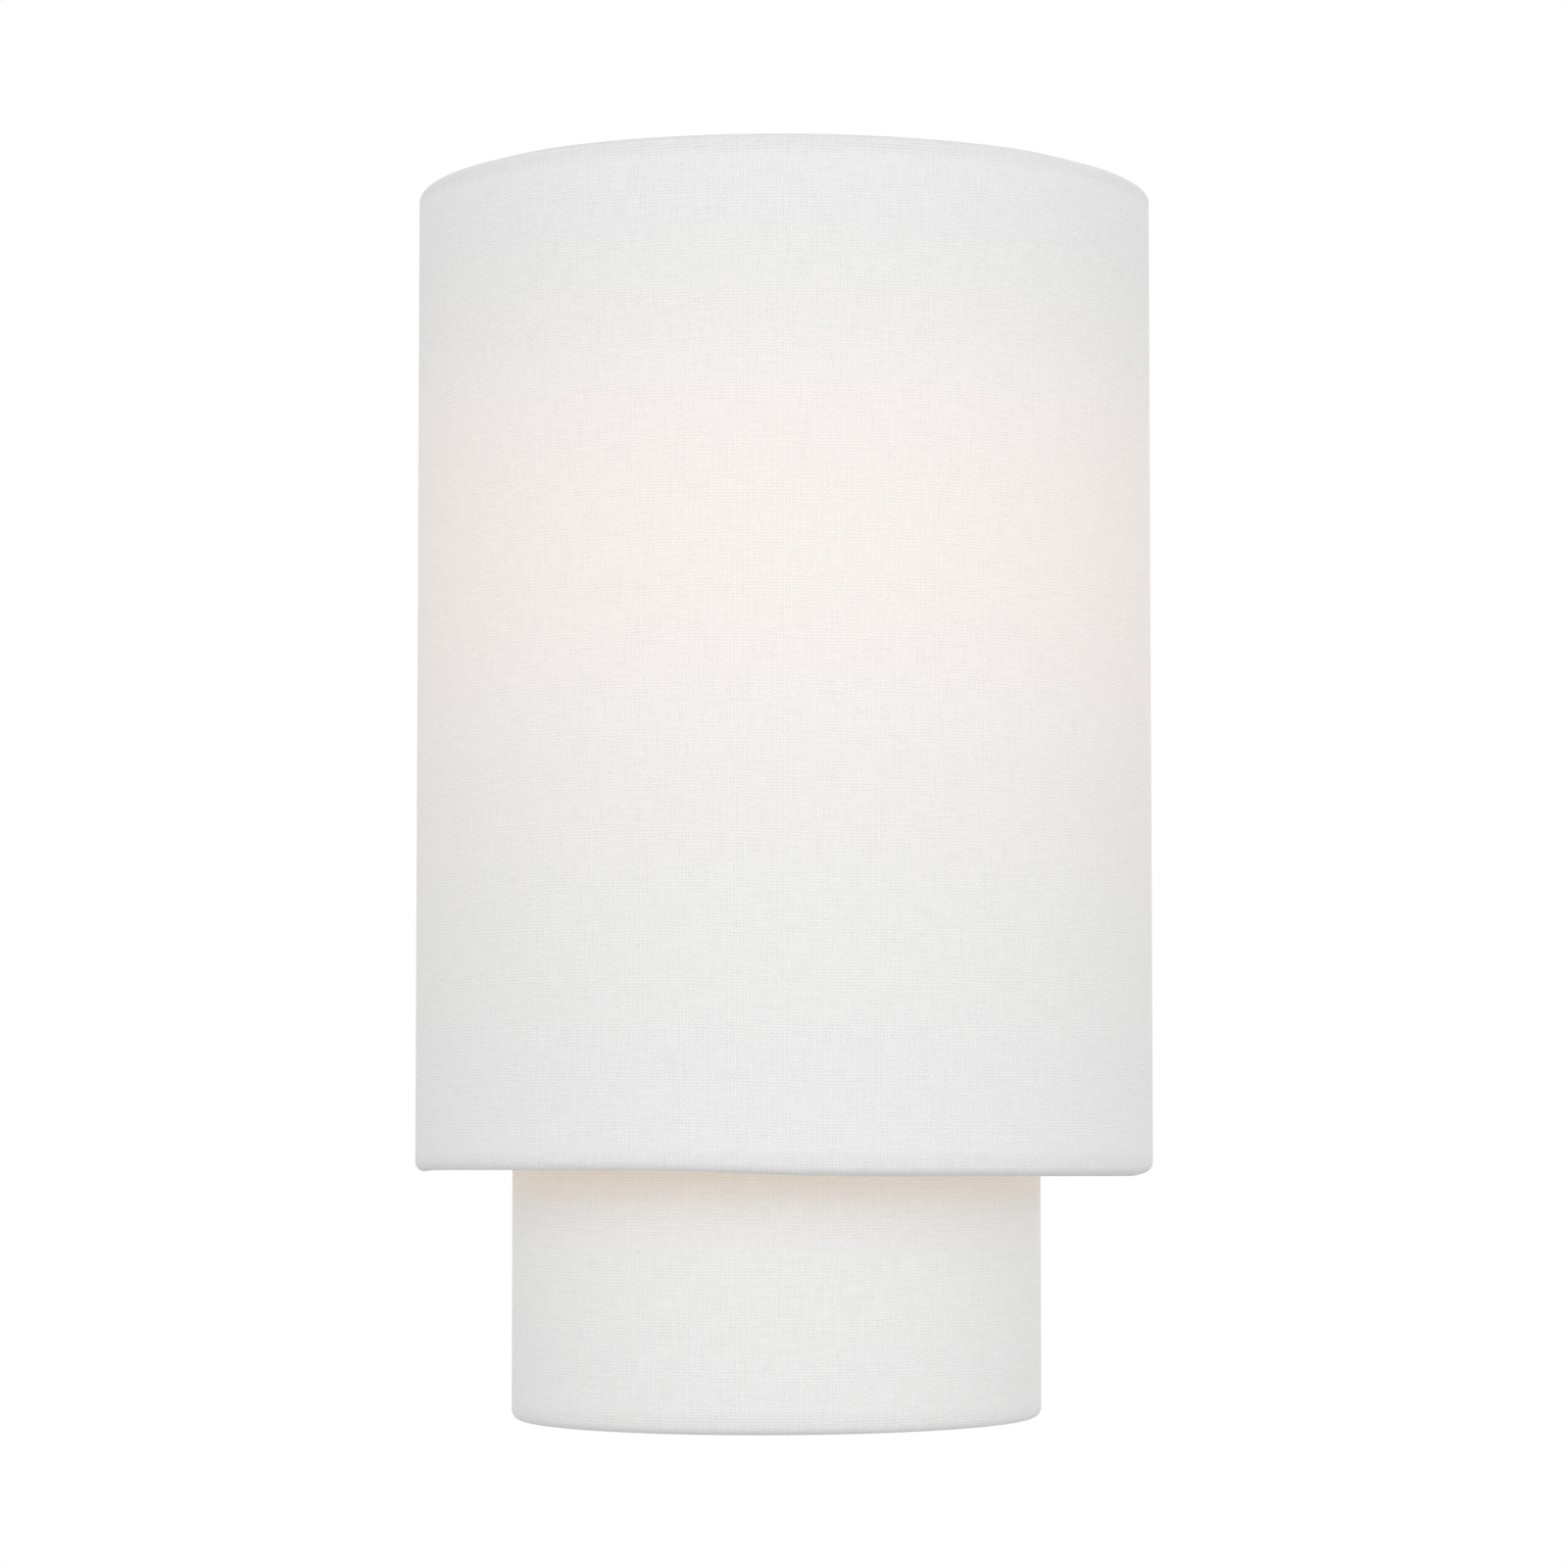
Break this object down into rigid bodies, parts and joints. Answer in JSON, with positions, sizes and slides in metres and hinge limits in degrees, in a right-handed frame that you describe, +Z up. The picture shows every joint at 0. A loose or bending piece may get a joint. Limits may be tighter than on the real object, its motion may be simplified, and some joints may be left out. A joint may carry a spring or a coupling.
{
  "type": "fabric shade wall light",
  "caption": "Half-round wall light with two stepped tiers of white cloth on a wire frame, hung on a wall pan that holds a screw lamp holder.",
  "frame": {"origin": "centre of the outlet box on the wall plane, half way up the upper tier", "axes": "+Z up along the longest extent, +Y into the wall, -Y out to the room, +X to the right"},
  "size_m": [0.2032, 0.1016, 0.34],
  "materials": {
    "shade_cloth": "plain-woven white cloth, lit from inside",
    "shade_lining": "thin matt white styrene",
    "frame_wire": "white powder coat",
    "white_enamel": "white stoved enamel",
    "zinc_plate": "bright zinc plate",
    "nickel_plate": "satin nickel plate",
    "green_screw": "green passivated steel",
    "green_lead": "green insulation",
    "black_lead": "black insulation",
    "white_lead": "white insulation",
    "black_nylon": "moulded nylon",
    "white_nylon": "moulded nylon",
    "porcelain": "glazed porcelain",
    "brass": "drawn brass",
    "frosted_glass": "inside-frosted glass",
    "clear_glass": "clear glass",
    "black_glass": "black glass insulator",
    "lamp_cap": "drawn aluminium",
    "solder": "soldered contact",
    "filament": "drawn tungsten"
  },
  "bodies": {
    "root": {"back_plate": "white_enamel", "mounting_strap": "zinc_plate", "strap_studs": "zinc_plate", "cap_nuts": "nickel_plate", "hanger_studs": "zinc_plate", "press_nuts": "zinc_plate", "ground_screw": "green_screw", "ground_lead": "green_lead", "lamp_bracket": "zinc_plate", "bracket_rivets": "zinc_plate", "holder_body": "porcelain", "holder_shell": "brass", "holder_contact": "brass", "holder_nipple": "zinc_plate", "lock_nut": "zinc_plate", "holder_screws": "brass", "terminal_block": "white_nylon", "terminal_inserts": "brass", "terminal_screws": "zinc_plate", "block_screw": "zinc_plate", "lead_grommet": "black_nylon", "live_lead": "black_lead", "neutral_lead": "white_lead"},
    "shade": {"outer_shade": "shade_cloth", "outer_liner": "shade_lining", "inner_shade": "shade_cloth", "inner_liner": "shade_lining", "outer_top_ring": "frame_wire", "outer_bottom_ring": "frame_wire", "inner_top_ring": "frame_wire", "inner_bottom_ring": "frame_wire", "outer_stays": "frame_wire", "inner_stays": "frame_wire", "tier_spacers": "frame_wire", "hanger_tabs": "frame_wire", "lock_tabs": "frame_wire"},
    "bulb": {"bulb_glass": "frosted_glass", "bulb_cap": "lamp_cap", "bulb_insulator": "black_glass", "bulb_contact": "solder", "bulb_stem": "clear_glass", "bulb_supports": "nickel_plate", "bulb_filament": "filament"},
    "left_washer": {"left_screw_washer": "zinc_plate"},
    "left_screw": {"left_thumb_screw": "nickel_plate"},
    "right_washer": {"right_screw_washer": "zinc_plate"},
    "right_screw": {"right_thumb_screw": "nickel_plate"}
  },
  "joints": [
    {"name": "shade_lift", "type": "slide", "parent": "root", "child": "shade", "axis": [0, 0, 1], "range_m": [0, 0.012]},
    {"name": "bulb_removal", "type": "slide", "parent": "root", "child": "bulb", "axis": [0, 0, 1], "range_m": [0, 0.024]},
    {"name": "left_screw_travel", "type": "slide", "parent": "root", "child": "left_washer", "axis": [0, -1, 0], "range_m": [0, 0.0021]},
    {"name": "left_screw_turn", "type": "hinge", "parent": "left_washer", "child": "left_screw", "pos_m": [-0.04, -0.02, -0.104], "axis": [0, -1, 0], "range_deg": [0, 1081]},
    {"name": "right_screw_travel", "type": "slide", "parent": "root", "child": "right_washer", "axis": [0, -1, 0], "range_m": [0, 0.0021]},
    {"name": "right_screw_turn", "type": "hinge", "parent": "right_washer", "child": "right_screw", "pos_m": [0.04, -0.02, -0.104], "axis": [0, -1, 0], "range_deg": [0, 1081]}
  ],
  "couplings": [
    {"joint": "left_screw_turn", "follows": "left_screw_travel", "rad_per_m": 8976},
    {"joint": "right_screw_turn", "follows": "right_screw_travel", "rad_per_m": 8976}
  ]
}
